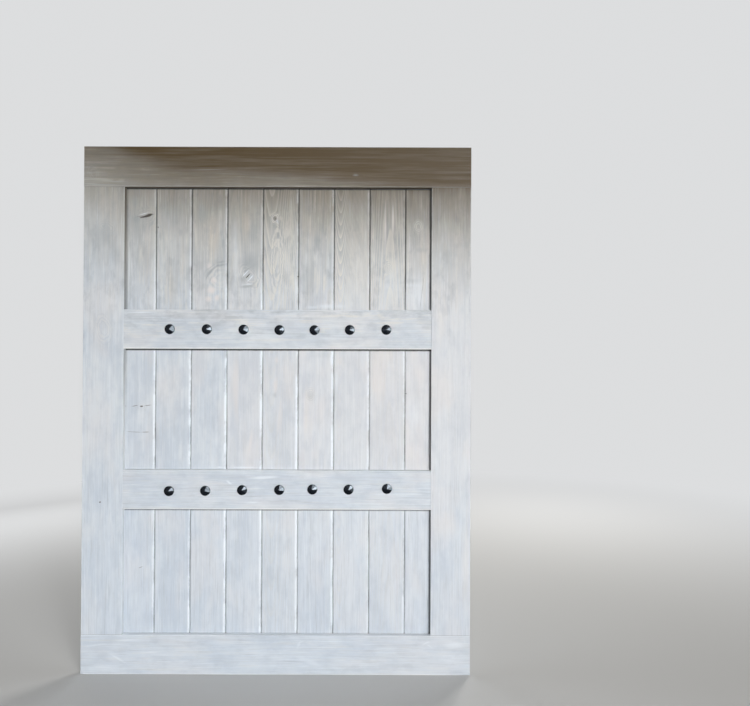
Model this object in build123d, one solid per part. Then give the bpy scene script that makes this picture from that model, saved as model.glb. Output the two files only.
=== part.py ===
from build123d import *
import math
import os

# One leaf of a sliding wooden shutter. Upright planks with tongues, grooves and V joints
# stand side by side and make the back layer. A face frame of two stiles and four rails is
# laid over their front, and screws driven from behind hold the two layers together. Black
# studs with faceted crowns are driven into the two middle rails, one on each whole plank.
#
# Millimetres. +X is to the right, the front faces -Y and +Z is up. The origin is at the
# middle of the bottom edge, halfway through the overall depth.

# Leaf
leaf_width = 1346
leaf_height = 1829

# Face frame
frame_thickness = 19
top_rail_height = 140
middle_rail_height = 136
bottom_rail_height = 136
left_stile_width = 141
right_stile_width = 137
bottom_bay_height = 434
middle_bay_height = 420
frame_edge_radius = 1.5

# Planks
plank_thickness = 19
plank_face = 124.6
plank_shift = 8
plank_edge_radius = 1.2
seam_gap = 0.8
v_width = 4.4
v_depth = 2.8
tongue_length = 6
tongue_thickness = 6
tongue_setback = 1.2
tongue_chamfer = 1
tongue_play = 0.3

# Studs. A forged stud lands a few millimetres from its mark, by hand: the shifts, lifts
# and turns below are each stud's own, from left to right. The lower row climbs a little.
stud_diameter = 35
stud_rim_height = 1.6
stud_flank_radius = 6
stud_shoulder_diameter = 29
stud_shoulder_height = 5
stud_crown_height = 9
stud_tip_diameter = 4
stud_facets = 8
stud_facet_angle = 22
stud_shank_diameter = 5
stud_shank_length = 31
stud_point_length = 7
stud_hole_play = 0.15
stud_shift = -2
upper_stud_shifts = (-4, 0, 3, 3, 0, -2, 0)
upper_stud_lifts = (0, 0, -1, -2, -2, -1, 0)
lower_stud_shifts = (-3, -2, 1, 5, -5, -4, 4)
lower_stud_lifts = (-5, -4, -1, 0, 2, 2, 5)
stud_turns = (8, 29, 14, 37, 3, 21, 33)

# Screws, driven from behind with their heads just under the surface
screw_length = 32
screw_diameter = 4.2
screw_head_diameter = 8.4
screw_head_height = 2.6
screw_point_length = 6
screw_recess = 0.3
screw_play = 0.1
screw_drive_width = 4.6
screw_drive_slot = 1
screw_drive_depth = 1.5
screw_stagger = 34

# Planes and lines that follow from the sizes above
overall_depth = stud_crown_height + frame_thickness + plank_thickness
stud_tip_y = -overall_depth / 2
front_y = stud_tip_y + stud_crown_height
layer_y = front_y + frame_thickness
back_y = layer_y + plank_thickness
left_x = -leaf_width / 2
right_x = leaf_width / 2
stile_left_x = left_x + left_stile_width
stile_right_x = right_x - right_stile_width
bottom_bay_z = bottom_rail_height
lower_rail_z = bottom_bay_z + bottom_bay_height
middle_bay_z = lower_rail_z + middle_rail_height
upper_rail_z = middle_bay_z + middle_bay_height
top_bay_z = upper_rail_z + middle_rail_height
top_rail_z = leaf_height - top_rail_height


def plank_spans():
    """The left and right limits of each plank, from one side of the leaf to the other.

    The fewest planks that fill the width are used. The inner ones keep their full face,
    and the two at the sides are ripped to what is left.
    """
    full_planks = math.ceil(leaf_width / plank_face) - 2
    first_seam = plank_shift - plank_face * full_planks / 2
    seams = [first_seam + plank_face * step for step in range(full_planks + 1)]
    lines = [left_x, *seams, right_x]
    return list(zip(lines, lines[1:]))


def middle(span):
    return (span[0] + span[1]) / 2


def v_cut(x, into):
    """What a V joint takes off a plank's front corner at x. into is the way to the wood."""
    corner = (x, layer_y)
    on_face = (x + into * v_width, layer_y)
    on_edge = (x, layer_y + v_depth)
    return make_face(Polyline(corner, on_face, on_edge, close=True))


def plank_profile(span):
    """A plank's section from above: groove on its left edge, tongue on its right edge."""
    has_groove = span[0] > left_x
    has_tongue = span[1] < right_x
    left = span[0] + (seam_gap / 2 if has_groove else 0)
    right = span[1] - (seam_gap / 2 if has_tongue else 0)
    centre_y = (layer_y + back_y) / 2
    tongue_y = centre_y + tongue_setback
    section = Pos((left + right) / 2, centre_y) * Rectangle(right - left, plank_thickness)
    section = fillet(section.vertices().group_by(Axis.Y)[-1], plank_edge_radius)
    if has_groove:
        section -= v_cut(left, 1)
        groove_width = tongue_thickness + 2 * tongue_play
        section -= Pos(left, tongue_y) * Rectangle(2 * tongue_length, groove_width)
    if has_tongue:
        section -= v_cut(right, -1)
        tongue = Pos(right, tongue_y) * Rectangle(2 * tongue_length, tongue_thickness)
        section += chamfer(tongue.vertices().group_by(Axis.X)[-1], tongue_chamfer)
    return section


def frame_board(x_span, z_span, grain):
    """A planed board of the face frame, with the edges along its grain eased."""
    size_x = x_span[1] - x_span[0]
    size_z = z_span[1] - z_span[0]
    place = Pos(middle(x_span), (front_y + layer_y) / 2, middle(z_span))
    board = place * Box(size_x, frame_thickness, size_z)
    return fillet(board.edges().filter_by(grain), frame_edge_radius)


def frame_boards():
    """The six boards of the face frame by name. The stiles stand between the long rails."""
    full = (left_x, right_x)
    inner = (stile_left_x, stile_right_x)
    stile_z = (bottom_bay_z, top_rail_z)
    return {
        "top_rail": frame_board(full, (top_rail_z, leaf_height), Axis.X),
        "upper_middle_rail": frame_board(inner, (upper_rail_z, top_bay_z), Axis.X),
        "lower_middle_rail": frame_board(inner, (lower_rail_z, middle_bay_z), Axis.X),
        "bottom_rail": frame_board(full, (0, bottom_bay_z), Axis.X),
        "left_stile": frame_board((left_x, stile_left_x), stile_z, Axis.Z),
        "right_stile": frame_board((stile_right_x, right_x), stile_z, Axis.Z),
    }


def from_front(x, z):
    """Where a stud sits: on the frame's face, with its head towards the front."""
    return Plane((x, front_y, z), x_dir=(1, 0, 0), z_dir=(0, -1, 0))


def from_behind(x, z):
    """Where a screw sits: sunk a little into the back, with its point to the front."""
    return Plane((x, back_y - screw_recess, z), x_dir=(1, 0, 0), z_dir=(0, 1, 0))


def stud_blank():
    """The stud as turned: a pointed shank, a flat underside, a rim and a rounded flank."""
    rim = stud_diameter / 2
    shoulder = stud_shoulder_diameter / 2
    shank = stud_shank_diameter / 2
    steps = Polyline(
        (0, stud_crown_height),
        (0, -stud_shank_length),
        (shank, stud_point_length - stud_shank_length),
        (shank, 0),
        (rim, 0),
        (rim, stud_rim_height),
    )
    flank = RadiusArc(
        (rim, stud_rim_height),
        (shoulder, stud_shoulder_height),
        -stud_flank_radius,
    )
    top = Polyline(
        (shoulder, stud_shoulder_height),
        (shoulder, stud_crown_height),
        (0, stud_crown_height),
    )
    return revolve(Plane.XZ * make_face([steps, flank, top]), Axis.Z)


def stud():
    """A forged stud: the blank, hammered to sloping facets that meet at a small flat tip."""
    tip = stud_tip_diameter / 2
    fall = stud_crown_height - stud_rim_height
    foot = tip + fall / math.tan(math.radians(stud_facet_angle))
    levels = ((stud_rim_height, foot), (stud_crown_height, tip))
    hammered = loft([
        Pos(0, 0, z) * RegularPolygon(radius, stud_facets, major_radius=False)
        for z, radius in levels
    ])
    below = stud_rim_height + stud_shank_length
    untouched = Pos(0, 0, stud_rim_height - below / 2) * Cylinder(stud_diameter, below)
    return stud_blank() & (hammered + untouched)


def stud_hole():
    """The hole that a stud's shank goes down, a little wider and deeper than the shank."""
    depth = stud_shank_length + stud_hole_play
    radius = stud_shank_diameter / 2 + stud_hole_play
    return Pos(0, 0, -depth / 2) * Cylinder(radius, depth)


def screw_outline(play):
    """Half of a countersunk screw's outline, grown by a clearance."""
    head = screw_head_diameter / 2 + play
    shank = screw_diameter / 2 + play
    return Polyline(
        (0, 0),
        (head, 0),
        (shank, -screw_head_height),
        (shank, screw_point_length - screw_length - play),
        (0, -screw_length - play),
        close=True,
    )


def screw():
    """A countersunk wood screw with a cross recess."""
    body = revolve(Plane.XZ * make_face(screw_outline(0)), Axis.Z)
    slot = Box(screw_drive_width, screw_drive_slot, 2 * screw_drive_depth)
    return body - slot - Rot(0, 0, 90) * slot


def screw_hole():
    """The countersunk hole that a screw sits in, open to the back of the leaf."""
    bore = revolve(Plane.XZ * make_face(screw_outline(screw_play)), Axis.Z)
    mouth = Cylinder(screw_head_diameter / 2 + screw_play, 2 * screw_recess)
    return bore + mouth


def stud_places(rail_middle, shifts, lifts):
    """A row of studs: one near the middle of each plank that shows whole in the bays."""
    whole = [s for s in plank_spans() if s[0] > stile_left_x and s[1] < stile_right_x]
    places = []
    for index, span in enumerate(whole):
        x = middle(span) + stud_shift + shifts[index % len(shifts)]
        z = rail_middle + lifts[index % len(lifts)]
        turn = stud_turns[index % len(stud_turns)]
        places.append((x, z, turn))
    return places


def rail_screw_places(z_span, x_limits):
    """One screw for each plank behind a rail, high and low in turn so nothing splits."""
    places = []
    for index, span in enumerate(plank_spans()):
        x = middle(span)
        step = screw_stagger if index % 2 else -screw_stagger
        if x_limits[0] < x < x_limits[1]:
            places.append((x, middle(z_span) + step))
    return places


def stile_screw_places(edge_plank):
    """Screws up a stile, two in each bay and one level with each middle rail.

    They go through the middle of the edge plank behind the stile, clear of its seam.
    """
    bays = (
        (bottom_bay_z, lower_rail_z),
        (middle_bay_z, upper_rail_z),
        (top_bay_z, top_rail_z),
    )
    heights = [low + (high - low) * share for low, high in bays for share in (0.25, 0.75)]
    heights += [lower_rail_z + middle_rail_height / 2, upper_rail_z + middle_rail_height / 2]
    return [(middle(edge_plank), z) for z in heights]


def screw_groups():
    """The screws by the frame board that they hold."""
    full = (left_x, right_x)
    inner = (stile_left_x, stile_right_x)
    planks = plank_spans()
    return {
        "top_rail": rail_screw_places((top_rail_z, leaf_height), full),
        "upper_middle_rail": rail_screw_places((upper_rail_z, top_bay_z), inner),
        "lower_middle_rail": rail_screw_places((lower_rail_z, middle_bay_z), inner),
        "bottom_rail": rail_screw_places((0, bottom_bay_z), full),
        "left_stile": stile_screw_places(planks[0]),
        "right_stile": stile_screw_places(planks[-1]),
    }


def drill(piece, cutters):
    """Cut from a board only the holes that reach it."""
    box = piece.bounding_box()
    near = [c for c in cutters if box.min.X < c.center().X < box.max.X]
    near = [c for c in near if box.min.Z < c.center().Z < box.max.Z]
    return piece - near if near else piece


def build():
    """Every node of the leaf by name."""
    screws = screw_groups()
    upper_middle = (upper_rail_z + top_bay_z) / 2
    lower_middle = (lower_rail_z + middle_bay_z) / 2
    upper_studs = stud_places(upper_middle, upper_stud_shifts, upper_stud_lifts)
    lower_studs = stud_places(lower_middle, lower_stud_shifts, lower_stud_lifts)
    bore = screw_hole()
    shank_hole = stud_hole()
    cutters = [from_behind(x, z) * bore for places in screws.values() for x, z in places]
    cutters += [from_front(x, z) * shank_hole for x, z, turn in upper_studs + lower_studs]

    nodes = {name: drill(board, cutters) for name, board in frame_boards().items()}
    spans = plank_spans()
    numbers = [f"plank_{number}" for number in range(1, len(spans) - 1)]
    for name, span in zip(["left_edge_plank", *numbers, "right_edge_plank"], spans):
        nodes[name] = drill(extrude(plank_profile(span), leaf_height), cutters)
    one_stud = stud()
    for row, places in (("upper", upper_studs), ("lower", lower_studs)):
        for number, (x, z, turn) in enumerate(places, start=1):
            nodes[f"{row}_stud_{number}"] = from_front(x, z) * Rot(0, 0, turn) * one_stud
    one_screw = screw()
    for name, places in screws.items():
        group = [from_behind(x, z) * one_screw for x, z in places]
        nodes[f"{name}_screws"] = Compound(children=group)
    return nodes


os.makedirs("parts", exist_ok=True)
for node_name, shape in build().items():
    export_step(shape, f"parts/{node_name}.step")
    print(node_name, round(shape.volume))
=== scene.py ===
# %% [markdown]
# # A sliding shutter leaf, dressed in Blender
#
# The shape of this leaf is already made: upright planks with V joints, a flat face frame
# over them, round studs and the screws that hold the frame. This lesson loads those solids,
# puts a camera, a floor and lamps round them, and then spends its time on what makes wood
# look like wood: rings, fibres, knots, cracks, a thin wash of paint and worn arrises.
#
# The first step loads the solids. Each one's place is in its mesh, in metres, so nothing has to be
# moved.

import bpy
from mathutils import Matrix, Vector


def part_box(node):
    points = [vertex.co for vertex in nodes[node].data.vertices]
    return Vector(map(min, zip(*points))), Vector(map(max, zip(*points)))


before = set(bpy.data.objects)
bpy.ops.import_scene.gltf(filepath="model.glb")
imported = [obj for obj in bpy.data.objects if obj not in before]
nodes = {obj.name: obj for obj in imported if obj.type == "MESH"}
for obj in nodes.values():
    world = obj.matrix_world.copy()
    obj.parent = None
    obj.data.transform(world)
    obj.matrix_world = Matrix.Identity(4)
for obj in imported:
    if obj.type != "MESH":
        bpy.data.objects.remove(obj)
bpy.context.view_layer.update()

# %% The tools that the lesson uses
from math import radians

import bmesh
import bpy
from mathutils import Matrix, Vector

scene = bpy.context.scene
print("Blender", bpy.app.version_string)

# %% [markdown]
# ## The camera
#
# The leaf was photographed from about two and a half metres away, from the right of its
# middle and a little above its waist, with the camera almost level. A camera that stands
# off to one side and still looks straight ahead keeps the leaf's edges parallel, as on a
# lens that is shifted sideways. Turning the camera to face the middle would be simpler, but
# then the top and bottom edges would run together, which the photograph doesn't show.

# %% The camera
CAMERA_PLACE = Vector((0.553, -2.5472, 1.114))
CAMERA_PITCH = radians(0.479)
CAMERA_ROLL = radians(0.193)
SENSOR_WIDTH = 36.0
LENS = 35.04
LENS_SHIFT_X = -0.0816
LENS_SHIFT_Y = -0.0081

camera_data = bpy.data.cameras.new("camera")
camera_data.sensor_width = SENSOR_WIDTH
camera_data.lens = LENS
camera_data.shift_x = LENS_SHIFT_X
camera_data.shift_y = LENS_SHIFT_Y
camera = bpy.data.objects.new("camera", camera_data)
scene.collection.objects.link(camera)
camera.matrix_world = (
    Matrix.Translation(CAMERA_PLACE)
    @ Matrix.Rotation(radians(90.0) + CAMERA_PITCH, 4, "X")
    @ Matrix.Rotation(CAMERA_ROLL, 4, "Z")
)
scene.camera = camera
print("camera at", tuple(round(v, 3) for v in camera.location), "lens", LENS)

# %% [markdown]
# ## Nodes written as sums
#
# A material is a web of small nodes, and most of them only add or multiply. Placing each
# one by hand hides what the sum is. So one small class wraps a node's output, and the usual
# signs on it add the Math nodes: 1 - mask makes a Subtract node. Every other kind of node
# comes from one method, which takes the node's type, its settings and what goes into it.

# %% A wire between nodes
class Wire:
    """The output of a node. Sums with it add Math nodes to the same material."""

    def __init__(self, tree, socket=None):
        self.tree = tree
        self.socket = socket

    def node(self, kind, settings=None, sockets=None, out=0):
        made = self.tree.nodes.new(kind)
        for name, value in (settings or {}).items():
            setattr(made, name, value)
        for name, value in (sockets or {}).items():
            if isinstance(value, Wire):
                self.tree.links.new(value.socket, made.inputs[name])
            else:
                made.inputs[name].default_value = value
        return Wire(self.tree, made.outputs[out]) if made.outputs else None

    def maths(self, operation, *values):
        return self.node("ShaderNodeMath", {"operation": operation}, dict(enumerate(values)))

    def __add__(self, other):
        return self.maths("ADD", self, other)

    def __radd__(self, other):
        return self.maths("ADD", other, self)

    def __sub__(self, other):
        return self.maths("SUBTRACT", self, other)

    def __rsub__(self, other):
        return self.maths("SUBTRACT", other, self)

    def __mul__(self, other):
        return self.maths("MULTIPLY", self, other)

    def __rmul__(self, other):
        return self.maths("MULTIPLY", other, self)

    def __truediv__(self, other):
        return self.maths("DIVIDE", self, other)

    def __rtruediv__(self, other):
        return self.maths("DIVIDE", other, self)

    def __pow__(self, other):
        return self.maths("POWER", self, other)

    def __abs__(self):
        return self.maths("ABSOLUTE", self)


def new_material(name):
    """A material with no nodes yet, and a wire to start from."""
    material = bpy.data.materials.new(name)
    material.use_nodes = True
    material.node_tree.nodes.clear()
    return material, Wire(material.node_tree)


print("the wire class knows + - * / ** and abs")


# %% Small helpers for values and colours
def least(a, b):
    return a.maths("MINIMUM", a, b)


def most(a, b):
    return a.maths("MAXIMUM", a, b)


def rise(value, start, end, low=0.0, high=1.0):
    """Goes smoothly from low to high as value goes from start to end, and stays there."""
    return value.node(
        "ShaderNodeMapRange",
        {"interpolation_type": "SMOOTHSTEP"},
        {0: value, 1: start, 2: end, 3: low, 4: high},
    )


def bell(value):
    """1 where value is 0, and down smoothly to almost nothing at 2."""
    fall = value * value * -0.7
    return fall.maths("EXPONENT", fall)


def sawtooth(value):
    """Climbs from 0 to 1 again and again, once for each whole step of value."""
    return value.maths("FRACT", value)


def sway(noise, weight):
    """A noise, whose middle value is 0.5, as a swing to both sides of 0."""
    return (noise - 0.5) * weight


def from_line(one_way, other_way):
    """The distance from a line, given the distances from it in two square directions."""
    return (one_way * one_way + other_way * other_way) ** 0.5


def paint(under, over, amount):
    """The colour over laid on the colour under, as much as amount says."""
    wire = next(v for v in (under, over, amount) if isinstance(v, Wire))
    settings = {"data_type": "RGBA", "blend_type": "MIX"}
    return wire.node("ShaderNodeMix", settings, {0: amount, 6: under, 7: over}, out=2)


def rgb(red, green, blue):
    return (red, green, blue, 1.0)


def split(vector):
    """The X, Y and Z of a vector as three wires."""
    return [vector.node("ShaderNodeSeparateXYZ", {}, {0: vector}, out=n) for n in range(3)]


print("the helpers are ready")

# %% [markdown]
# ## Floor and background
#
# The leaf stands on a pale floor that runs out of sight. A large flat sheet is enough, but
# its far edge would show as a horizon. So the floor fades into the background's own colour
# a few metres out. What the camera and reflections see there comes from a shader that only
# they see, and the light on the leaf stays as the lamps give it.

# %% The floor's sheet
FLOOR_REACH = 30.0
FLOOR_DROP = 0.0002

grid = bmesh.new()
bmesh.ops.create_grid(grid, x_segments=1, y_segments=1, size=FLOOR_REACH)
bmesh.ops.translate(grid, verts=grid.verts, vec=(0.0, 0.0, -FLOOR_DROP))
floor_mesh = bpy.data.meshes.new("floor")
grid.to_mesh(floor_mesh)
grid.free()
floor = bpy.data.objects.new("floor", floor_mesh)
scene.collection.objects.link(floor)
print("floor reaches", FLOOR_REACH, "m from the leaf")

# %% The floor's finish and the world
BACKGROUND = rgb(0.720, 0.728, 0.736)
FLOOR_COLOUR = rgb(0.66, 0.66, 0.65)
FADE_START = 1.4
FADE_END = 4.5
SHADE = rgb(1.0, 0.965, 0.92)
SHADE_STRENGTH = 0.14


def seen_by_eye(wire):
    """1 for what the camera, a reflection or clear glass sees, and 0 for light on things."""
    kind = "ShaderNodeLightPath"
    camera_ray = wire.node(kind, out="Is Camera Ray")
    glossy_ray = wire.node(kind, out="Is Glossy Ray")
    clear_ray = wire.node(kind, out="Is Transmission Ray")
    return most(most(camera_ray, glossy_ray), clear_ray)


floor_material, start = new_material("floor_pale")
place = start.node("ShaderNodeTexCoord", out="Object")
away = start.node("ShaderNodeVectorMath", {"operation": "LENGTH"}, {0: place}, out="Value")
fade = rise(away, FADE_START, FADE_END) * seen_by_eye(start)
matt = start.node("ShaderNodeBsdfDiffuse", {}, {"Color": FLOOR_COLOUR})
glow = start.node("ShaderNodeEmission", {}, {"Color": BACKGROUND, "Strength": 1.0})
mixed = start.node("ShaderNodeMixShader", {}, {0: fade, 1: matt, 2: glow})
start.node("ShaderNodeOutputMaterial", {}, {"Surface": mixed})
floor_mesh.materials.append(floor_material)

world = bpy.data.worlds.new("world")
world.use_nodes = True
world.node_tree.nodes.clear()
scene.world = world
start = Wire(world.node_tree)
sky = start.node("ShaderNodeBackground", {}, {"Color": SHADE, "Strength": SHADE_STRENGTH})
plain = start.node("ShaderNodeBackground", {}, {"Color": BACKGROUND, "Strength": 1.0})
mixed = start.node("ShaderNodeMixShader", {}, {0: seen_by_eye(start), 1: sky, 2: plain})
start.node("ShaderNodeOutputWorld", {}, {"Surface": mixed})
scene.view_settings.view_transform = "Standard"
print("the floor fades out from", FADE_START, "to", FADE_END, "m")

# %% [markdown]
# ## Lamps
#
# The main light comes from the front, the right and above, as the thin shadows under the
# rails and beside the right stile show. It falls off towards the top of the leaf. A sun
# lamp would light the whole leaf alike, so the main lamp is a soft spot whose cone is aimed
# low. A broad panel under it softens its shadows, another on the left fills them, and two
# more light the back.
#
# Black studs show their facets only by what they mirror, and an empty world gives them
# nothing bright. A brighter lamp would bleach the wood. So a large card stands at the right
# that only reflections see: it is hidden from the camera and from diffuse light.

# %% The lamps
def lamp(name, kind, place, target, power, colour, **settings):
    """A lamp at a place, turned towards a target. Power is in watts."""
    data = bpy.data.lights.new(name, kind)
    data.energy = power
    data.color = colour
    for setting, value in settings.items():
        setattr(data, setting, value)
    made = bpy.data.objects.new(name, data)
    scene.collection.objects.link(made)
    made.location = place
    made.rotation_mode = "QUATERNION"
    aim = Vector(target) - Vector(place)
    made.rotation_quaternion = aim.to_track_quat("-Z", "Y")
    return made


def panel(name, place, target, power, colour, width, height, **settings):
    """A flat lamp that many metres wide and high."""
    return lamp(name, "AREA", place, target, power, colour,
                shape="RECTANGLE", size=width, size_y=height, **settings)


lamp("main_lamp", "SPOT", place=(3.09, -5.81, 3.29), target=(-0.5, 0.0, -2.0), power=280.0,
     colour=(0.985, 1.0, 1.02), spot_size=radians(59.0), spot_blend=0.50, shadow_soft_size=0.42)
panel("side_panel", place=(2.85, -4.90, 1.45), target=(-0.5, 0.0, 0.60), power=27.0,
      colour=(1.0, 0.995, 0.98), width=2.2, height=1.7, spread=radians(60.0))
card = panel("gloss_card", place=(2.75, -4.90, 2.05), target=(2.75, 0.0, 2.05), power=1600.0,
             colour=(0.97, 0.99, 1.0), width=4.4, height=4.1)
card.visible_diffuse = False
card.visible_camera = False
panel("fill_lamp", place=(-2.2, -3.6, 0.7), target=(0.0, 0.0, 0.5), power=26.0,
      colour=(0.89, 0.94, 1.0), width=1.6, height=1.6)
panel("back_lamp", place=(1.8, 3.4, 2.2), target=(0.0, 0.0, 0.9), power=90.0,
      colour=(1.0, 0.99, 0.97), width=1.4, height=1.4)
panel("back_fill_lamp", place=(-2.4, 2.6, 1.2), target=(0.0, 0.0, 0.9), power=30.0,
      colour=(0.95, 0.97, 1.0), width=1.6, height=1.6)

# %% [markdown]
# ## Washed pine
#
# The boards are pine under a thin grey-blue wash that was brushed along them. What shows is a
# mixture: rings and fibres of the wood, soft streaks where the wash is thick or thin, cloudy patches,
# warm tan where it hardly covers, and pale worn arrises. Painted light is laid on too: shade at the
# top and in the corners, a highlight on arrises that face the light, and a cool tint near the ground.
# A photograph of wood would repeat on every board and bring its own light. A pattern made of sums
# follows each board, cuts through to its ends, and can have its knots where they belong.

# %% Colours of the wash and the wood
BLUE_WASH = rgb(0.555, 0.612, 0.686)
WHITE_WASH = rgb(0.690, 0.730, 0.775)
WARM_WASH = rgb(0.745, 0.715, 0.715)
ROSY_WASH = rgb(0.780, 0.732, 0.715)
# Painted light: the cool tint near the ground.
COOL_LIGHT_TINT = rgb(0.640, 0.745, 0.885)
# Painted shade and thin wash: the grey towards the top.
GREY_WASH_AND_SHADE = rgb(0.358, 0.351, 0.303)
# Painted shade: the brown that darkens the leaf's top and the frame's sides there.
PAINTED_SHADE_BROWN = rgb(0.085, 0.053, 0.018)
CREAM_STREAK = rgb(0.765, 0.737, 0.672)
SLATE = rgb(0.342, 0.368, 0.388)
EARLY_WOOD = rgb(0.640, 0.580, 0.495)
LATE_WOOD = rgb(0.420, 0.355, 0.285)
# Pale wear, and painted highlight on arrises and ledges that face the light.
PALE_WEAR_AND_HIGHLIGHT = rgb(0.845, 0.893, 0.945)
CREAM_EDGE = rgb(0.885, 0.885, 0.880)
# Dark joints, and painted shadow in the bays' corners and on the left stile's side.
DARK_JOINT_AND_SHADE = rgb(0.036, 0.036, 0.034)
DARK_CRACK = rgb(0.085, 0.075, 0.065)
KNOT_WOOD = rgb(0.250, 0.215, 0.185)
print("white wash is", round(WHITE_WASH[1] / GREY_WASH_AND_SHADE[1], 1), "times as bright as grey wash")

# %% [markdown]
# ## Where a point is on its board
#
# On real boards wash, dirt and wear follow two things: the grain that runs along a board
# and the edges that it ends in. Shapes of their own would have no thickness that shows, and
# painting them by hand would have to be done again for each board. So a board is a set of
# wires here: how far a point is along the grain, behind the face and from the nearest edge,
# and how strong each kind of mark is there. A mark is a noise that is stretched along the
# grain, and the kinds differ only in how fine and how long they are.

# %% Kinds of mark
# So many a metre across the grain and along it, how much detail, how rough that detail is,
# and a step that keeps one kind's pattern apart from another's.
MARKS = {
    "fibre": (620.0, 14.0, 2.0, 0.50, 0.30),
    "scratches": (300.0, 9.0, 1.0, 0.50, 0.75),
    "hair": (240.0, 7.0, 2.0, 0.70, 0.45),
    "brush": (170.0, 5.0, 3.0, 0.60, 0.40),
    "comb": (105.0, 3.6, 5.0, 0.64, 0.55),
    "streak": (66.0, 2.4, 4.0, 0.60, 0.50),
    "bend": (60.0, 60.0, 2.0, 0.50, 0.90),
    "mottle": (34.0, 11.0, 4.0, 0.60, 0.35),
    "blotch": (34.0, 17.0, 5.0, 0.62, 0.85),
    "haze": (26.0, 5.0, 4.0, 0.62, 0.65),
    "ripple": (26.0, 3.0, 3.0, 0.60, 0.20),
    "wear": (14.0, 9.0, 4.0, 0.65, 0.70),
    "cloud": (13.0, 6.0, 4.0, 0.55, 0.60),
    "patch": (9.0, 4.0, 3.0, 0.50, 0.80),
    "wander": (3.0, 1.2, 1.0, 0.50, 0.10),
}


def streaks(grain, across, along, seed, detail, roughness):
    """Noise with so many marks a metre across the grain and along it. Middle value 0.5."""
    shift = (seed * 3.7, seed * 1.3, seed * 2.9)
    settings = {"vector_type": "POINT"}
    sockets = {"Vector": grain, "Location": shift, "Scale": (across, across, along)}
    stretched = grain.node("ShaderNodeMapping", settings, sockets)
    sockets = {"Vector": stretched, "Scale": 1.0, "Detail": detail, "Roughness": roughness}
    return grain.node("ShaderNodeTexNoise", {}, sockets)


print("kinds of mark, from fine to broad:", ", ".join(MARKS))

# %% A board's own wires
# A pair is where a change starts and where it ends, here and in the cells below, in metres.
FACE_LAYER = (0.0045, 0.0090)
LEFT_END = (-0.70, -0.38)
LEFT_END_LAG = 0.09
THIN_WASH_AND_SHADE_RISE = (1.20, 1.72)
RAGGED_EDGE = 0.002


class Board:
    """Where a point is on a board, and how strong each kind of mark is there."""

    def __init__(self, wire, box, along_x, seed):
        self.wire = wire
        self.low, self.high = box
        self.along_x = along_x
        self.place = wire.node("ShaderNodeTexCoord", out="Object")
        self.x, self.y, self.z = split(self.place)

        # Along the board becomes Z, whichever way the board lies.
        middle = tuple((self.low + self.high) / 2)
        turn = (0.0, radians(90.0), 0.0) if along_x else (0.0, 0.0, 0.0)
        sockets = {"Vector": self.place, "Location": middle, "Rotation": turn}
        grain = wire.node("ShaderNodeMapping", {"vector_type": "TEXTURE"}, sockets)
        self.across, self.depth, self.along = split(grain)
        for name, (across, along, detail, roughness, step) in MARKS.items():
            setattr(self, name, streaks(grain, across, along, seed + step, detail, roughness))
        self.ragged = sway(self.bend, RAGGED_EDGE)

        # How far a point is behind the board's face, and from the edges of the face.
        self.front = self.y - self.low[1]
        self.on_face = rise(self.front, *FACE_LAYER, 1.0, 0.0)
        self.off_left = self.x - self.low[0]
        self.off_right = self.high[0] - self.x
        self.off = least(self.off_left, self.off_right)
        if along_x:
            self.off = least(self.z - self.low[2], self.high[2] - self.z)

        # Towards the top the wash is thinner and painted shade comes in, both less so at the left
        # end.
        lag = rise(self.x, *LEFT_END, -LEFT_END_LAG, 0.0)
        self.thin_wash_and_shade = rise(self.z + lag, *THIN_WASH_AND_SHADE_RISE)


print("the wash thins from", THIN_WASH_AND_SHADE_RISE[0], "to", THIN_WASH_AND_SHADE_RISE[1], "m up")

# %% [markdown]
# ## Spots
#
# A knot, a crack, a scuff or a rosy patch has one place on the leaf. A picture could hold
# them, but it would blur close by. An oval at that place stays sharp: it has a middle, half
# sizes and a lean, and a noise makes its rim ragged, so that no two spots look alike.

# %% Ovals on the face
def from_place(place, x, z, half_x, half_z, lean):
    """How far from a spot on the face, where 1 is the rim of an oval of those half sizes."""
    settings = {"vector_type": "TEXTURE"}
    sockets = {
        "Vector": place,
        "Location": (x, 0.0, z),
        "Rotation": (0.0, -radians(lean), 0.0),
        "Scale": (half_x, 1000.0, half_z),
    }
    local = place.node("ShaderNodeMapping", settings, sockets)
    return place.node("ShaderNodeVectorMath", {"operation": "LENGTH"}, {0: local}, out="Value")


def inside(distance, softness):
    """1 in the middle of a spot and 0 past its rim."""
    return rise(distance, 1.0 - softness, 1.0 + softness * 0.4, 1.0, 0.0)


def paint_spots(board, colour, over, spots, noise, raggedness, softness=0.9, share=1.0):
    """Lays a colour on spots, each an oval on the face and how strongly it shows."""
    for *oval, strength in spots:
        distance = from_place(board.place, *oval) + sway(noise, raggedness)
        amount = inside(distance, softness) * board.on_face * (strength * share)
        colour = paint(colour, over, amount)
    return colour


print("spots are ready")

# %% [markdown]
# ## Rings and knots
#
# The rings come from how a board is cut. A tree's rings are cylinders round its pith, so a
# board's rings are the distance from a line that runs along it, some way behind its face.
# A slight taper of the trunk turns them into long arches on the face and arcs on the ends.
# A wave texture would be quicker, but its bands don't know where the pith is. Round a knot
# the rings bulge, and the growth there leaves thin lines that curl round it.

# %% Rings with the wander of a real trunk
PITH_WANDER = 0.014
RING_RIPPLE = 0.0018


def curls_round(board, distance, lines):
    """The dark and the light half of each thin line that curls round a knot."""
    wave = sawtooth(distance * 2.0)
    fade = rise(distance, 0.35, 0.80) * rise(distance, 1.1, 2.3, lines, 0.0)
    fade = fade * rise(board.patch + board.haze, 0.84, 1.04, 0.30, 1.0)
    dark_half = rise(wave, 0.05, 0.25) * rise(wave, 0.35, 0.52, 1.0, 0.0)
    light_half = rise(wave, 0.52, 0.72) * rise(wave, 0.86, 1.0, 1.0, 0.0)
    return dark_half * fade, light_half * fade


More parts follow.
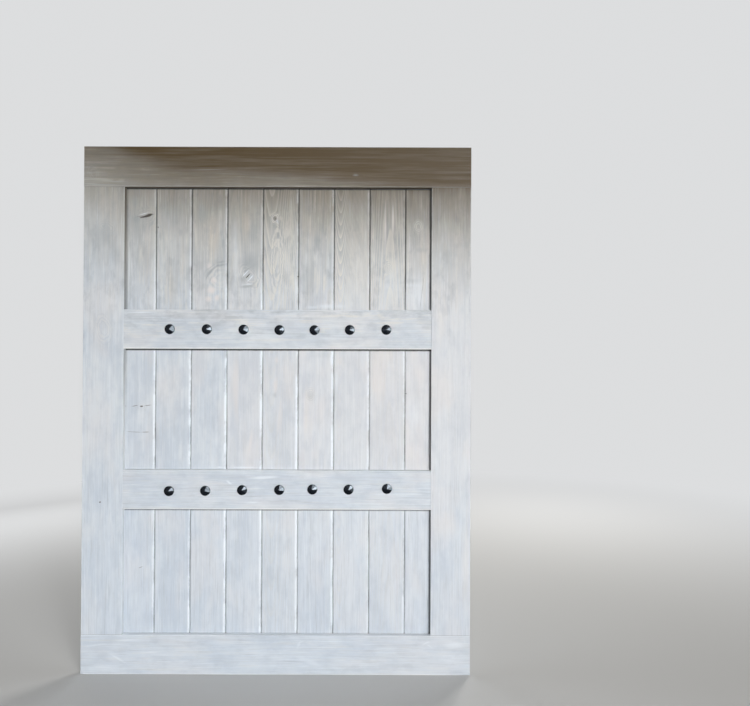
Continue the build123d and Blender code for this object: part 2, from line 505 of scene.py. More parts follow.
def rings(board, cut, taper, knots):
    """The hard late wood of each ring, the knots' cores, and the curls round the knots."""
    pith_across, pith_behind, ring_width = cut
    sideways = board.across - pith_across + sway(board.wander, PITH_WANDER)
    reach = from_line(sideways, board.depth - pith_behind)
    reach = reach + board.along * taper + sway(board.ripple, RING_RIPPLE)
    knot = None
    curls = []
    for x, z, half_x, half_z, lean, swirl, core, lines in knots:
        distance = from_place(board.place, x, z, half_x, half_z, lean)
        distance = distance + sway(board.bend, 0.7) + sway(board.cloud, 1.2)
        reach = reach + bell(distance) * (swirl * min(half_x, half_z))
        spot = inside(distance / 0.5, 0.5) * core
        knot = spot if knot is None else most(knot, spot)
        if lines:
            curls.append(curls_round(board, distance, lines))
    ring = sawtooth(reach / ring_width)
    late = ring ** 2.5 * rise(ring, 0.92, 1.0, 1.0, 0.0)
    return late, knot, curls


print("a pith wanders", PITH_WANDER * 1000, "mm and a ring", RING_RIPPLE * 1000, "mm")

# %% [markdown]
# ## How much the wash covers
#
# Hard late wood and high fibres take less of the wash, it is thin where a stroke of the
# brush ran dry, and the cut sides of a board got little of it. One even factor between wood
# and wash would look like a tinted film. So the factor is a sum with a term for each cause,
# and most of them grow towards the leaf's top, where the wash has thinned.

# %% The cover
FULL_COVER = 0.965
LEAST_COVER = 0.2


def wash_cover(board, late, knot, thin, tan, is_plank):
    """From LEAST_COVER to 1: how much of the wood's own colour the wash hides."""
    bare = board.thin_wash_and_shade * 0.16 + thin
    dry = rise(board.streak, 0.50, 0.66) * rise(board.patch, 0.46, 0.66)
    cover = FULL_COVER - bare + (board.streak - 0.5) * (bare + 0.12)
    cover = cover + (board.brush - 0.5) * (bare + 0.16)
    cover = cover - dry * (bare * 1.2 + 0.04) - late * (bare + 0.03) - sway(board.fibre, 0.12)
    if not is_plank:
        cover = cover - rise(board.front, 0.0010, 0.0050) * (board.thin_wash_and_shade * 0.35 + 0.18)
    for *oval, strength in tan:
        distance = from_place(board.place, *oval) + sway(board.streak, 3.0)
        cover = cover - inside(distance, 0.9) * strength
    if knot is not None:
        cover = cover - knot * 0.4
    return board.wire.node("ShaderNodeClamp", {}, {0: cover, 1: LEAST_COVER, 2: 1.0})


print("the wash covers", FULL_COVER, "where nothing thins it, and never under", LEAST_COVER)

# %% [markdown]
# ## The colour of the wash
#
# A thin wash is never one colour. It is whiter in clouds, in strokes, along the edges and in fine
# scratches, and a little rosy on some planks. Two coats are painted light: a cool blue tint near the
# ground, and grey towards the top, which is painted shade and thin wash together. A colour for each
# pixel would need a picture, so each of those is one coat of colour, laid on by a noise or by height.

# %% The coats of the wash
MIDDLE_WHITENESS = 0.42
ROSE_STARTS = (0.50, 0.74)
ROSE_FADES = (1.05, 1.35)
COOL_LIGHT_FADES = (0.10, 1.10)


def wash_colour(board, tone, warm, grey):
    """The wash alone. tone, warm and grey make one board whiter, rosier or greyer."""
    whiter = MIDDLE_WHITENESS + tone + sway(board.cloud, 2.4) + sway(board.streak, 1.2)
    whiter = whiter + sway(board.brush, 1.3) + sway(board.blotch, 1.7)
    whiter = whiter + rise(board.haze, 0.52, 0.68) * 0.20 + sway(board.patch, 0.5)
    whiter = whiter + rise(board.off, 0.003, 0.020, 0.30, 0.0) * rise(board.haze, 0.38, 0.56)
    scratch = rise(board.scratches, 0.66, 0.74)
    whiter = whiter + scratch * rise(board.patch, 0.42, 0.56, 0.3, 1.3)
    wash = paint(BLUE_WASH, WHITE_WASH, whiter)
    warmth = rise(board.z, *ROSE_STARTS, 0.3, 1.0) * rise(board.z, *ROSE_FADES, 1.0, 0.40)
    warmth = warmth * warm
    wash = paint(wash, WARM_WASH, rise(board.patch, 0.46, 0.66, 0.0, 0.35) + warmth)
    # Painted light: a cool blue tint that grows towards the ground.
    wash = paint(wash, COOL_LIGHT_TINT, rise(board.z, *COOL_LIGHT_FADES, 0.30, 0.0))
    # Painted shade and thin wash: grey that grows towards the top.
    greyness = board.thin_wash_and_shade * rise(board.cloud, 0.35, 0.65, 0.86, 0.62) + grey
    return paint(wash, GREY_WASH_AND_SHADE, greyness)


print("the wash is", MIDDLE_WHITENESS, "of the way from blue to white on the whole")

# %% [markdown]
# ## What the weather did
#
# Up close the wash has hair lines, left by the bristles. They show least in the middle bay.
# Towards the top the weather took the wash off the hard rings and high streaks, so cream wood shows
# between slate-grey patches. Each is laid over the wash by its own noise. The top is also darkened by
# painted shade, a brown coat that is darkest at the top rail. Darkening the whole top with less light
# would take the cream streaks away with it, so the shade is a painted coat that lets them through.

# %% Hair lines, cream streaks and the top's painted shade
HAIR_FADES = (0.62, 0.80)
HAIR_RETURNS = (1.15, 1.35)
STREAKS_START = (1.10, 1.38)
BROWN_LATE = (-0.72, -0.30)
BROWN_EARLY = (-0.30, 0.60)
BROWN_STARTS = (1.48, 1.80)
BROWN_DEEPENS = (1.72, 1.79)
TOWARDS_BACK = (0.010, 0.032)


def hair_lines(board, colour):
    """Dark and pale lines, full in the bottom and top bays and weaker in the middle one."""
    fine = rise(board.z, *HAIR_FADES, 1.0, 0.45) + rise(board.z, *HAIR_RETURNS, 0.0, 0.60)
    colour = paint(colour, SLATE, rise(board.hair, 0.30, 0.45, 0.24, 0.0) * fine)
    return paint(colour, PALE_WEAR_AND_HIGHLIGHT, rise(board.hair, 0.57, 0.70, 0.0, 0.27) * fine)


def weathered(board, colour, late, creamy, figure):
    """Slate patches, and cream streaks and rings. figure is how much the rings show."""
    streaky = rise(board.z, *STREAKS_START, 0.20, 1.0)
    show = rise(board.comb, 0.50, 0.61) * rise(board.mottle, 0.42, 0.60, 0.10, 1.3) * creamy
    shadow = rise(board.comb, 0.40, 0.49, 0.50, 0.0) + rise(board.mottle, 0.36, 0.52, 0.40, 0.0)
    dull = rise(board.blotch, 0.36, 0.52, 0.36, 0.0) * (0.35 + creamy)
    colour = paint(colour, SLATE, (shadow * creamy + dull) * streaky)
    return paint(colour, CREAM_STREAK, most(show, late * figure) * streaky)


def shade_browned(board, colour):
    """Painted shade over the leaf's top, in brown, which starts lower at the right than at the left
    end.
    """
    height = board.z + rise(board.x, *BROWN_LATE, -0.10, 0.0)
    height = height + rise(board.x, *BROWN_EARLY, 0.0, 0.07)
    brown = rise(height, *BROWN_STARTS, 0.0, 0.75) + rise(height, *BROWN_DEEPENS, 0.0, 0.23)
    brown = brown * rise(board.front, *TOWARDS_BACK, 1.0, 0.5)
    brown = brown * (1.0 - sway(board.comb, 0.40) - sway(board.streak, 0.40))
    return paint(colour, PAINTED_SHADE_BROWN, brown)


def curled(board, colour, curls):
    """The thin lines round the knots."""
    for dark_half, light_half in curls:
        colour = paint(colour, SLATE, dark_half * board.on_face * 0.55)
        colour = paint(colour, CREAM_STREAK, light_half * board.on_face * 0.8)
    return colour


print("the weather's coats are ready")

# %% [markdown]
# ## Edges
#
# Wear takes the wash off a board's arrises, so they show pale. The arrises that face the light, and
# the rails' upper sides, get a painted highlight as well, most of all the right arris of each plank,
# and the joints' dark line grows with the top's painted shade. No brush reaches the bottom of a
# joint, so it stays dark. The V of each joint and the rounding of each edge are in the solids, and a
# bevel here would change them. So only the colour changes, by the distance from the line where two
# faces meet.

# %% The joints between planks
V_WIDTH = 0.0044
LEFT_ARRIS_REACH = 0.0040
# The right arris faces the light, so its painted highlight reaches further.
RIGHT_ARRIS_REACH = 0.0070
JOINT_WIDENS = (1.20, 1.45)
JOINT_DARKENS = (1.10, 1.35)
ARRIS_BRIGHTENS = (0.50, 0.72)
ARRIS_DULLS = (1.12, 1.50)


def plank_edges(board, colour, edges):
    """The dark bottom of a plank's V joints, and the worn arrises beside them, which also get a
    painted highlight.
    """
    # The joint's dark line widens and darkens towards the top, with the top's painted shade.
    width = rise(board.z, *JOINT_WIDENS, 0.0013, 0.0024)
    width = width + rise(board.wear, 0.46, 0.58, 0.0007, 0.0)
    gap = rise(board.off + board.ragged * 0.6, 0.0002, width, 1.0, 0.0)
    # The arrises' pale wear and painted highlight, duller towards the shaded top.
    arris_wear_and_light = rise(board.z, *ARRIS_DULLS, 1.0, 0.25) * rise(board.wear, 0.38, 0.56)
    arris_wear_and_light = arris_wear_and_light * rise(board.z, *ARRIS_BRIGHTENS, 0.85, 1.0)
    darkness = rise(board.z, *JOINT_DARKENS, 0.72, 0.92) - arris_wear_and_light * 0.42
    colour = paint(colour, DARK_JOINT_AND_SHADE, gap * darkness)
    sides = ((board.off_left, LEFT_ARRIS_REACH), (board.off_right, RIGHT_ARRIS_REACH))
    for (distance, reach), strength in zip(sides, edges):
        arris = from_line(distance - V_WIDTH, board.front)
        bright = rise(arris + board.ragged, 0.0006, reach, 1.0, 0.0) * arris_wear_and_light
        colour = paint(colour, PALE_WEAR_AND_HIGHLIGHT, bright * strength)
    return colour


print("V joints are", V_WIDTH * 1000, "mm wide on each plank")


# %% The edges of the frame
SIDE_LAYER = (0.0010, 0.0050)
THIN_EDGE = (0.0004, 0.0020)
BUTT_LINE = (0.0004, 0.0018)
SHADED_SIDE_STARTS = (0.75, 1.30)


def rail_edges(board, colour, under, ledge):
    """A pale line along a rail's lower arris, and a painted highlight on its upper side."""
    arris = from_line(board.z - board.low[2], board.front)
    pale_lower_arris = rise(arris + board.ragged, 0.0014, 0.0052, under, 0.0)
    colour = paint(colour, CREAM_EDGE, pale_lower_arris)
    # Painted highlight on the rail's upper side, where it faces the light.
    upper_side = rise(board.high[2] - board.z, *THIN_EDGE, 1.0, 0.0)
    upper_side = upper_side * rise(board.front, 0.0, 0.004, 0.6, 1.0)
    return paint(colour, PALE_WEAR_AND_HIGHLIGHT, upper_side * ledge)


def stile_edges(board, colour, shaded):
    """A stile's right side, darkened by painted shade as much as shaded says, and the lines where it
    butts on the rails.
    """
    side = rise(board.off_right, *THIN_EDGE, 1.0, 0.0) * rise(board.front, 0.0002, 0.0020)
    # Painted shade on the stile's side, from the middle bay up.
    colour = paint(colour, DARK_JOINT_AND_SHADE, side * rise(board.z, *SHADED_SIDE_STARTS) * shaded)
    end = least(board.z - board.low[2], board.high[2] - board.z)
    return paint(colour, DARK_JOINT_AND_SHADE, rise(end, *BUTT_LINE, 0.55, 0.0))


def frame_edges(board, colour, worn, under, ledge, shaded):
    """Worn arrises of a frame board, its sides darkened to brown by painted shade towards the top,
    and what only its kind has.
    """
    arris = from_line(board.off, board.front)
    bright = rise(arris + board.ragged, 0.0010, 0.0042, 1.0, 0.0) * rise(board.wear, 0.36, 0.58)
    colour = paint(colour, PALE_WEAR_AND_HIGHLIGHT, bright * worn)
    if board.along_x:
        colour = rail_edges(board, colour, under, ledge)
    # Painted shade: the frame's sides darken to brown towards the top.
    colour = paint(colour, PAINTED_SHADE_BROWN, rise(board.front, *SIDE_LAYER) * board.thin_wash_and_shade * 0.6)
    if not board.along_x:
        colour = stile_edges(board, colour, shaded)
    return colour


print("frame sides are browned from", SIDE_LAYER[0] * 1000, "mm behind the face")

# %% [markdown]
# ## Corners of the bays
#
# Where planks meet a rail or a stile, the frame board shades them. Soft shadows from the lamps darken
# such a corner, but far too little. So the planks get a painted shadow, a dark line along the bays'
# edges, whose places come from the frame boards' boxes.

# %% Painted shadow in the corners
BAYS = {
    "bottom": (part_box("bottom_rail")[1][2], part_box("lower_middle_rail")[0][2]),
    "middle": (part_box("lower_middle_rail")[1][2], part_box("upper_middle_rail")[0][2]),
    "top": (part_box("upper_middle_rail")[1][2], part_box("top_rail")[0][2]),
}
STILE_EDGES = (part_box("left_stile")[1][0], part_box("right_stile")[0][0])

# The axis a corner is crossed along, its place, how wide and how strong the painted shadow is, and
# whether it fades out below the top bay.
CORNER_SHADOWS = (
    ("Z", BAYS["top"][1], 0.0075, 1.0, False),
    ("Z", BAYS["middle"][1], 0.0085, 0.95, False),
    ("Z", BAYS["bottom"][1], 0.0105, 0.70, False),
    ("Z", BAYS["bottom"][0], 0.0026, 0.30, False),
    ("X", STILE_EDGES[0], 0.0080, 0.42, True),
    ("X", STILE_EDGES[1], 0.0090, 0.75, False),
)


def painted_corner_shadow(board, colour):
    """Painted shadow: dark lines on a plank along the edges of the bays."""
    for axis, value, width, strength, fades_low in CORNER_SHADOWS:
        run = {"X": board.x, "Z": board.z}[axis]
        corner = rise(abs(run - value) + board.ragged, width * 0.4, width, 1.0, 0.0)
        if fades_low:
            corner = corner * rise(board.z, *SHADED_SIDE_STARTS)
        colour = paint(colour, DARK_JOINT_AND_SHADE, corner * board.on_face * strength)
    return colour


print("bays:", {name: (round(low, 3), round(high, 3)) for name, (low, high) in BAYS.items()})

# %% [markdown]
# ## One board's material
#
# Now the coats go on in the order in which a real board got them, with painted light among them:
# wood, wash, weather, the top's painted shade, spots, edges with their painted highlight, painted
# shadow in the corners, and cracks last of all. A group of nodes could be shared by all boards, but
# the number of knots and spots differs, so each board gets its own material.
# Fibres and strokes of the brush also raise the surface a tenth of a millimetre or so, as
# a bump, because nobody sees such a small step from the side.

# %% The surface
WOOD_ROUGHNESS = 0.60
WOOD_REFLECTION = 0.12
FIBRE_HEIGHT = 0.00010
STROKE_HEIGHT = 0.00016
RING_HEIGHT = 0.00005


def pine_surface(board, colour, late):
    """The colour on a matt surface that the fibres, strokes and rings raise a little."""
    rough = WOOD_ROUGHNESS + sway(board.brush, 0.25) + late * 0.05
    height = board.fibre * FIBRE_HEIGHT + board.brush * STROKE_HEIGHT + late * RING_HEIGHT
    sockets = {"Height": height, "Strength": 0.6, "Distance": 1.0}
    bump = board.wire.node("ShaderNodeBump", {}, sockets)
    sockets = {"Base Color": colour, "Roughness": rough, "Normal": bump,
               "Specular IOR Level": WOOD_REFLECTION}
    shader = board.wire.node("ShaderNodeBsdfPrincipled", {}, sockets)
    board.wire.node("ShaderNodeOutputMaterial", {}, {"Surface": shader})


print("strokes stand out", STROKE_HEIGHT * 1000, "mm")


# %% The washed pine itself
def washed_pine(name, along_x, box, is_plank, seed, cut, taper=0.022, tone=0.0, warm=0.0,
                thin=0.0, grey=0.0, figure=0.30, creamy=0.70, edges=(0.25, 0.60), worn=0.30,
                under=0.25, ledge=0.0, shaded=0.0, knots=(), slits=(), pale=(), tan=(),
                rosy=(), dark=()):
    """A board's material. cut is (how far the pith is across, how far behind, ring width)."""
    material, start = new_material(name)
    board = Board(start, box, along_x, seed)

    late, knot, curls = rings(board, cut, taper, knots)
    wood = paint(EARLY_WOOD, LATE_WOOD, late * 0.7 + sway(board.fibre, 0.3))
    if knot is not None:
        wood = paint(wood, KNOT_WOOD, knot)
    cover = wash_cover(board, late, knot, thin, tan, is_plank)
    colour = paint(wood, wash_colour(board, tone, warm, grey), cover)

    colour = hair_lines(board, colour)
    colour = weathered(board, colour, late, creamy, figure)
    # Painted shade over the top of the leaf.
    colour = shade_browned(board, colour)
    colour = curled(board, colour, curls)
    colour = paint_spots(board, colour, ROSY_WASH, rosy, board.streak, 1.5)
    colour = paint_spots(board, colour, SLATE, dark, board.haze, 1.6)
    colour = paint_spots(board, colour, PALE_WEAR_AND_HIGHLIGHT, pale, board.brush, 1.6, share=0.7)
    if is_plank:
        colour = plank_edges(board, colour, edges)
        # Painted shadow in the corners of the bays.
        colour = painted_corner_shadow(board, colour)
    else:
        colour = frame_edges(board, colour, worn, under, ledge, shaded)
    colour = paint_spots(board, colour, DARK_CRACK, slits, board.bend, 0.9, softness=0.5)

    pine_surface(board, colour, late)
    return material


print("the washed pine is ready")

# %% [markdown]
# ## Every board has its own wood
#
# No two boards come from the same place in a tree. A board gets its own seed and its own
# cut, and then what can be seen on it. pale, dark, rosy and tan are scuffs, dull patches,
# rosy patches and patches of thin wash. A spot is its X and Z on the leaf, its half sizes,
# its lean in degrees and its strength, and slits are cracks in the same form. A knot has
# its X, Z, half sizes and lean too, and then how much the rings bulge round it, how dark
# its core is and how clear the curls round it are. One random choice for all would be
# shorter, but then the leaf wouldn't be this one.

# %% The frame boards
FRAME_BOARDS = {
    "top_rail": {
        "seed": 1, "cut": (0.12, 0.05, 0.0050), "taper": 0.012, "thin": 0.02, "grey": 0.10,
        "creamy": 0.32, "figure": 0.15, "under": 0.10, "worn": 0.08,
        "knots": [(-0.640, 1.735, 0.012, 0.022, 20, 1.0, 0.15, 0.12)],
        "pale": [(0.271, 1.732, 0.012, 0.005, 0, 0.22), (-0.240, 1.749, 0.075, 0.0020, 1, 0.15)],
    },
    "bottom_rail": {
        "seed": 2, "cut": (-0.03, 0.05, 0.0050), "tone": 0.08, "ledge": 0.60, "worn": 0.45,
        "pale": [(-0.60, 0.020, 0.09, 0.014, 0, 0.5), (-0.545, 0.055, 0.03, 0.004, -30, 0.6),
                 (-0.44, 0.075, 0.05, 0.003, 4, 0.6), (-0.62, 0.10, 0.04, 0.004, 6, 0.6),
                 (-0.510, 0.118, 0.050, 0.0035, 2, 0.8), (0.522, 0.111, 0.018, 0.0035, 25, 0.6),
                 (0.533, 0.101, 0.012, 0.0030, -30, 0.5), (0.620, 0.106, 0.045, 0.012, 2, 0.7),
                 (0.600, 0.060, 0.070, 0.020, 0, 0.45), (0.081, 0.104, 0.005, 0.015, -25, 0.45),
                 (0.090, 0.114, 0.014, 0.003, 18, 0.5), (0.120, 0.045, 0.050, 0.010, -20, 0.45)],
    },
    "upper_middle_rail": {
        "seed": 3, "cut": (0.09, 0.05, 0.0038), "under": 0.85,
        "pale": [(-0.470, 1.252, 0.050, 0.003, 0, 0.6)],
    },
    "lower_middle_rail": {
        "seed": 4, "cut": (-0.01, 0.07, 0.0045), "under": 0.60, "ledge": 0.25,
        "pale": [(-0.041, 0.681, 0.05, 0.005, 4, 0.8), (-0.080, 0.594, 0.03, 0.004, 0, 0.7),
                 (-0.163, 0.663, 0.012, 0.004, -35, 0.9)],
    },
    "left_stile": {
        "seed": 5, "cut": (0.03, 0.06, 0.0044), "tone": 0.06, "creamy": 0.15, "figure": 0.12,
        "shaded": 0.42,
        "knots": [(-0.600, 1.194, 0.018, 0.030, 10, 1.0, 0.0, 0.25),
                  (-0.596, 1.548, 0.020, 0.012, -15, 1.2, 0.0, 0.30)],
        "slits": [(-0.610, 0.5935, 0.004, 0.003, 20, 0.7)],
        "dark": [(-0.555, 1.46, 0.025, 0.040, 0, 0.15), (-0.610, 1.52, 0.050, 0.045, 0, 0.34)],
    },
    "right_stile": {
        "seed": 6, "cut": (-0.02, 0.05, 0.0052), "tone": 0.10, "warm": 0.35, "creamy": 0.25,
        "figure": 0.12,
        "rosy": [(0.658, 0.38, 0.016, 0.20, 0, 0.35), (0.585, 0.52, 0.050, 0.050, 0, 0.28)],
    },
}
print("frame boards:", len(FRAME_BOARDS))

# %% The planks left of the middle
LEFT_PLANKS = {
    "left_edge_plank": {"seed": 11, "cut": (0.04, 0.05, 0.0045)},
    "plank_1": {
        "seed": 12, "cut": (0.05, 0.04, 0.0046), "tone": -0.02, "warm": 0.05, "creamy": 0.30,
        "knots": [(-0.463, 1.591, 0.026, 0.018, 14, 0.9, 0.15, 0.12),
                  (-0.475, 0.9245, 0.012, 0.010, 0, 0.9, 0.2, 0.3)],
        "slits": [(-0.462, 1.590, 0.026, 0.0040, 14, 1.0), (-0.451, 1.5940, 0.012, 0.0052, 14, 1.0),
                  (-0.472, 1.5865, 0.009, 0.0022, 8, 0.9), (-0.487, 1.5890, 0.012, 0.0010, 12, 0.5),
                  (-0.499, 0.926, 0.012, 0.0013, 12, 0.7), (-0.475, 0.9245, 0.006, 0.0028, 0, 0.9),
                  (-0.455, 0.9275, 0.014, 0.0013, 7, 0.7), (-0.533, 0.925, 0.005, 0.0012, 0, 0.6),
                  (-0.503, 0.835, 0.028, 0.0010, -3, 0.5), (-0.462, 0.8345, 0.014, 0.0013, 2, 0.7),
                  (-0.475, 0.3636, 0.009, 0.0013, 22, 0.7)],
        "pale": [(-0.470, 1.5985, 0.018, 0.0018, 16, 0.8)],
        "dark": [(-0.500, 1.579, 0.020, 0.014, 0, 0.35), (-0.505, 1.640, 0.014, 0.020, 0, 0.30),
                 (-0.490, 1.565, 0.048, 0.060, 0, 0.42)],
    },
    "plank_2": {
        "seed": 13, "cut": (-0.06, 0.05, 0.0042), "tone": -0.10, "edges": (0.25, 1.0),
        "creamy": 0.35,
        "knots": [(-0.4218, 1.551, 0.006, 0.008, 0, 1.0, 0.8, 0.5)],
        "slits": [(-0.4218, 1.551, 0.0030, 0.0042, 10, 0.6)],
        "dark": [(-0.385, 1.575, 0.050, 0.060, 0, 0.38)],
        "tan": [(-0.375, 1.345, 0.020, 0.09, 0, 0.30), (-0.336, 1.430, 0.010, 0.09, 0, 0.22)],
    },
    "plank_3": {
        "seed": 14, "cut": (0.03, 0.06, 0.0044), "tone": -0.05, "creamy": 0.35, "edges": (0.25, 1.0),
        "knots": [(-0.200, 1.376, 0.028, 0.026, 35, 1.2, 0.0, 0.45)],
        "dark": [(-0.232, 1.402, 0.030, 0.005, 42, 0.70), (-0.200, 1.419, 0.024, 0.004, 12, 0.6),
                 (-0.240, 1.390, 0.020, 0.003, 50, 0.6), (-0.268, 1.600, 0.020, 0.035, 0, 0.35),
                 (-0.250, 1.378, 0.014, 0.0035, 72, 0.55), (-0.236, 1.412, 0.024, 0.0035, 38, 0.45),
                 (-0.200, 1.430, 0.020, 0.0035, 8, 0.45), (-0.237, 1.370, 0.014, 0.0030, 70, 0.50),
                 (-0.215, 1.430, 0.036, 0.016, 15, 0.22)],
        "tan": [(-0.228, 1.525, 0.016, 0.08, 0, 0.45)],
        "pale": [(-0.200, 0.7125, 0.014, 0.0035, 0, 0.9), (-0.190, 0.745, 0.006, 0.030, 0, 0.5)],
        "rosy": [(-0.241, 1.416, 0.010, 0.012, 0, 0.60), (-0.2265, 1.366, 0.010, 0.015, 20, 0.75),
                 (-0.234, 1.332, 0.016, 0.015, 0, 0.85), (-0.243, 1.300, 0.012, 0.011, 0, 0.65),
                 (-0.215, 1.304, 0.010, 0.011, 0, 0.65)],
    },
    "plank_4": {
        "seed": 15, "cut": (-0.04, 0.05, 0.0048), "tone": 0.02, "warm": 0.28, "creamy": 0.35,
        "edges": (0.25, 0.95),
        "knots": [(-0.1056, 1.3825, 0.015, 0.028, 40, 1.6, 0.0, 1.0)],
        "slits": [(-0.1060, 1.3822, 0.012, 0.0021, 48, 1.0)],
        "dark": [(-0.128, 1.372, 0.016, 0.018, 0, 0.55), (-0.110, 1.345, 0.030, 0.006, 6, 0.55),
                 (-0.105, 1.428, 0.052, 0.034, 0, 0.46), (-0.112, 1.402, 0.022, 0.004, 30, 0.5)],
        "pale": [(-0.1150, 1.3905, 0.016, 0.0022, 48, 1.2), (-0.0970, 1.3740, 0.016, 0.0022, 48, 1.2),
                 (-0.105, 1.352, 0.018, 0.0030, 8, 0.6), (-0.150, 1.45, 0.006, 0.12, 0, 0.3),
                 (-0.115, 0.7125, 0.050, 0.0030, 0, 0.9)],
        "tan": [(-0.112, 1.595, 0.020, 0.07, 0, 0.40), (-0.118, 0.80, 0.010, 0.08, 0, 0.10)],
        "rosy": [(-0.148, 1.000, 0.016, 0.11, 1, 0.45), (-0.095, 0.800, 0.008, 0.05, -8, 0.35)],
    },
}
print("planks left of the middle:", len(LEFT_PLANKS))

# %% The middle plank and those right of it
RIGHT_PLANKS = {
    "plank_5": {
        "seed": 16, "cut": (-0.0300, 0.035, 0.0055), "taper": -0.060, "thin": 0.03, "tone": -0.02,
        "warm": 0.18, "figure": 0.85, "creamy": 0.45, "edges": (0.25, 1.0),
        "knots": [(-0.0122, 1.5834, 0.009, 0.011, 0, 1.2, 1.0, 1.0),
                  (-0.0040, 1.4300, 0.0170, 0.082, 0, 0.0, 0.0, 0.60)],
        "slits": [(0.0690, 1.3796, 0.0025, 0.0025, 0, 1.0),
                  (-0.0122, 1.5834, 0.0065, 0.0080, 0, 0.55)],
        "pale": [(-0.0040, 1.5720, 0.0030, 0.010, 20, 0.5)],
        "rosy": [(-0.006, 1.087, 0.008, 0.012, 0, 0.4), (-0.010, 1.000, 0.011, 0.030, 0, 0.5),
                 (0.006, 0.880, 0.010, 0.060, -4, 0.35)],
        "dark": [(-0.010, 0.965, 0.009, 0.012, 0, 0.25)],
    },
    "plank_6": {
        "seed": 17, "cut": (0.05, 0.05, 0.0046), "tone": -0.04, "warm": 0.28, "edges": (0.25, 1.0),
        "creamy": 0.42,
        "knots": [(0.114, 0.969, 0.010, 0.014, 0, 1.0, 0.1, 0.5)],
        "dark": [(0.114, 0.962, 0.012, 0.018, 0, 0.25), (0.150, 1.105, 0.050, 0.012, 0, 0.15),
                 (0.133, 1.505, 0.012, 0.035, 0, 0.45), (0.110, 1.380, 0.022, 0.060, 0, 0.30)],
        "pale": [(0.187, 1.090, 0.006, 0.020, 0, 0.9), (0.175, 1.276, 0.035, 0.010, 0, 0.7),
                 (0.120, 1.272, 0.020, 0.006, 0, 0.5)],
        "tan": [(0.098, 1.560, 0.014, 0.12, 0, 0.25)],
        "rosy": [(0.100, 0.900, 0.014, 0.09, 0, 0.35)],
    },
    "plank_7": {
        "seed": 18, "cut": (-0.042, 0.006, 0.0044), "taper": -0.100, "tone": 0.06, "warm": 0.32,
        "creamy": 0.28, "figure": 1.00,
        "pale": [(0.206, 1.010, 0.005, 0.035, 0, 0.5), (0.215, 1.276, 0.020, 0.008, 0, 0.5),
                 (0.255, 0.360, 0.050, 0.170, 0, 0.30)],
    },
    "plank_8": {
        "seed": 19, "cut": (0.01, 0.06, 0.0044), "thin": 0.02, "tone": 0.08, "warm": 0.45,
        "figure": 0.80, "creamy": 0.48, "edges": (0.25, 0.45),
        "knots": [(0.3845, 1.411, 0.010, 0.014, 0, 1.3, 0.1, 0.6)],
        "tan": [(0.4236, 1.620, 0.010, 0.05, 3, 0.45), (0.405, 1.310, 0.010, 0.05, 0, 0.30)],
        "pale": [(0.395, 1.340, 0.042, 0.070, 0, 0.35)],
        "rosy": [(0.374, 1.545, 0.004, 0.09, 0, 0.50), (0.400, 1.580, 0.004, 0.05, 0, 0.50)],
        "dark": [(0.422, 1.510, 0.004, 0.05, -4, 0.45)],
    },
    "plank_9": {
        "seed": 20, "cut": (0.04, 0.04, 0.0050), "tone": 0.10, "warm": 0.50, "creamy": 0.38,
        "knots": [(0.4894, 1.5544, 0.010, 0.013, 0, 1.4, 0.1, 0.7)],
        "slits": [(0.503, 1.330, 0.070, 0.0010, 83, 0.3), (0.448, 0.9717, 0.005, 0.0013, -10, 0.8)],
        "dark": [(0.500, 1.475, 0.026, 0.011, 4, 0.35), (0.470, 1.366, 0.036, 0.010, 0, 0.40)],
        "pale": [(0.468, 1.350, 0.034, 0.006, 0, 0.28), (0.486, 1.322, 0.046, 0.095, 0, 0.58),
                 (0.475, 0.900, 0.030, 0.060, 0, 0.30)],
        "tan": [(0.508, 1.405, 0.011, 0.13, 0, 0.28)],
    },
    "right_edge_plank": {"seed": 21, "cut": (-0.04, 0.05, 0.0045)},
}
print("planks from the middle on:", len(RIGHT_PLANKS))

# %% Dress the boards
TONGUE = 0.006


def dress(node, material):
    mesh = nodes[node].data
    mesh.materials.clear()
    mesh.materials.append(material)


def face_box(name, is_plank):
    """A board's box, without the tongue that a plank hides in the next one's groove."""
    low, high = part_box(name)
    if is_plank and name != "right_edge_plank":
        high = high - Vector((TONGUE, 0.0, 0.0))
    return low, high


boards = {**FRAME_BOARDS, **LEFT_PLANKS, **RIGHT_PLANKS}
for name, values in boards.items():
    is_plank = name not in FRAME_BOARDS
    along_x = name.endswith("_rail")
    pine = washed_pine(name + "_wood", along_x, face_box(name, is_plank), is_plank, **values)
    dress(name, pine)
print("boards dressed:", len(boards))

# %% [markdown]
# ## Studs
#
# The studs are black iron, hammered to sloping facets. The facets are in the solids, so the
# finish has only to be dark and smooth enough to mirror: one bright wedge and near black on
# the rest is what makes them look faceted. A rougher black would turn them into flat dots.
# The hammer's small dents are a bump, because they are far smaller than a facet.

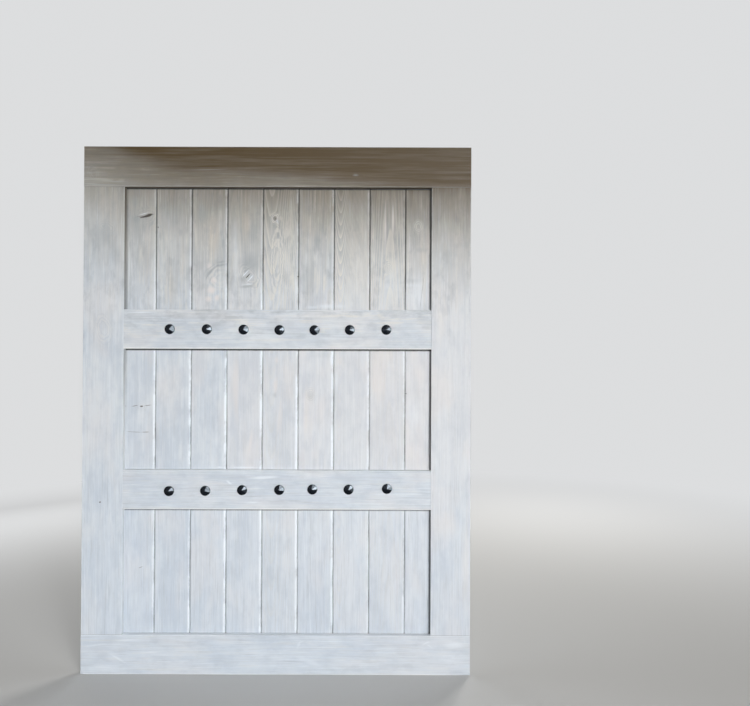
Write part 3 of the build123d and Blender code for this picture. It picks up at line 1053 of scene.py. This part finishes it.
# %% Black iron
IRON_BLACK = rgb(0.002, 0.003, 0.006)
IRON_SHEEN = rgb(0.80, 0.90, 1.0)
IRON_ROUGHNESS = 0.21
IRON_REFLECTION = 0.26
DENTS_A_METRE = 260.0
DENT_HEIGHT = 0.0008

iron, start = new_material("stud_iron")
place = start.node("ShaderNodeTexCoord", out="Object")
sockets = {"Vector": place, "Scale": DENTS_A_METRE, "Detail": 2.0}
dents = start.node("ShaderNodeTexNoise", {}, sockets)
sockets = {"Height": dents * DENT_HEIGHT, "Strength": 0.40, "Distance": 1.0}
bump = start.node("ShaderNodeBump", {}, sockets)
sockets = {"Base Color": IRON_BLACK, "Roughness": IRON_ROUGHNESS, "Normal": bump,
           "Specular IOR Level": IRON_REFLECTION, "Specular Tint": IRON_SHEEN}
shader = start.node("ShaderNodeBsdfPrincipled", {}, sockets)
start.node("ShaderNodeOutputMaterial", {}, {"Surface": shader})
studs = [name for name in nodes if "_stud_" in name]
for name in studs:
    dress(name, iron)
print("studs dressed:", len(studs))

# %% [markdown]
# ## Screws
#
# The screws show only on the back. They are zinc that has gone dull in patches. An even
# bright metal would shine as white dots against the wood, so a fine noise mixes two greys
# and roughens the duller one.

# %% Dull zinc
ZINC_LIGHT = rgb(0.46, 0.45, 0.42)
ZINC_DULL = rgb(0.30, 0.29, 0.27)
ZINC_ROUGHNESS = 0.45
ZINC_SPOTS_A_METRE = 900.0

zinc, start = new_material("screw_zinc")
place = start.node("ShaderNodeTexCoord", out="Object")
sockets = {"Vector": place, "Scale": ZINC_SPOTS_A_METRE, "Detail": 2.0}
spots = start.node("ShaderNodeTexNoise", {}, sockets)
sockets = {"Base Color": paint(ZINC_LIGHT, ZINC_DULL, spots),
           "Roughness": ZINC_ROUGHNESS + spots * 0.25, "Metallic": 1.0}
shader = start.node("ShaderNodeBsdfPrincipled", {}, sockets)
start.node("ShaderNodeOutputMaterial", {}, {"Surface": shader})
screw_nodes = [name for name in nodes if name.endswith("_screws")]
for name in screw_nodes:
    dress(name, zinc)
print("groups of screws dressed:", len(screw_nodes))
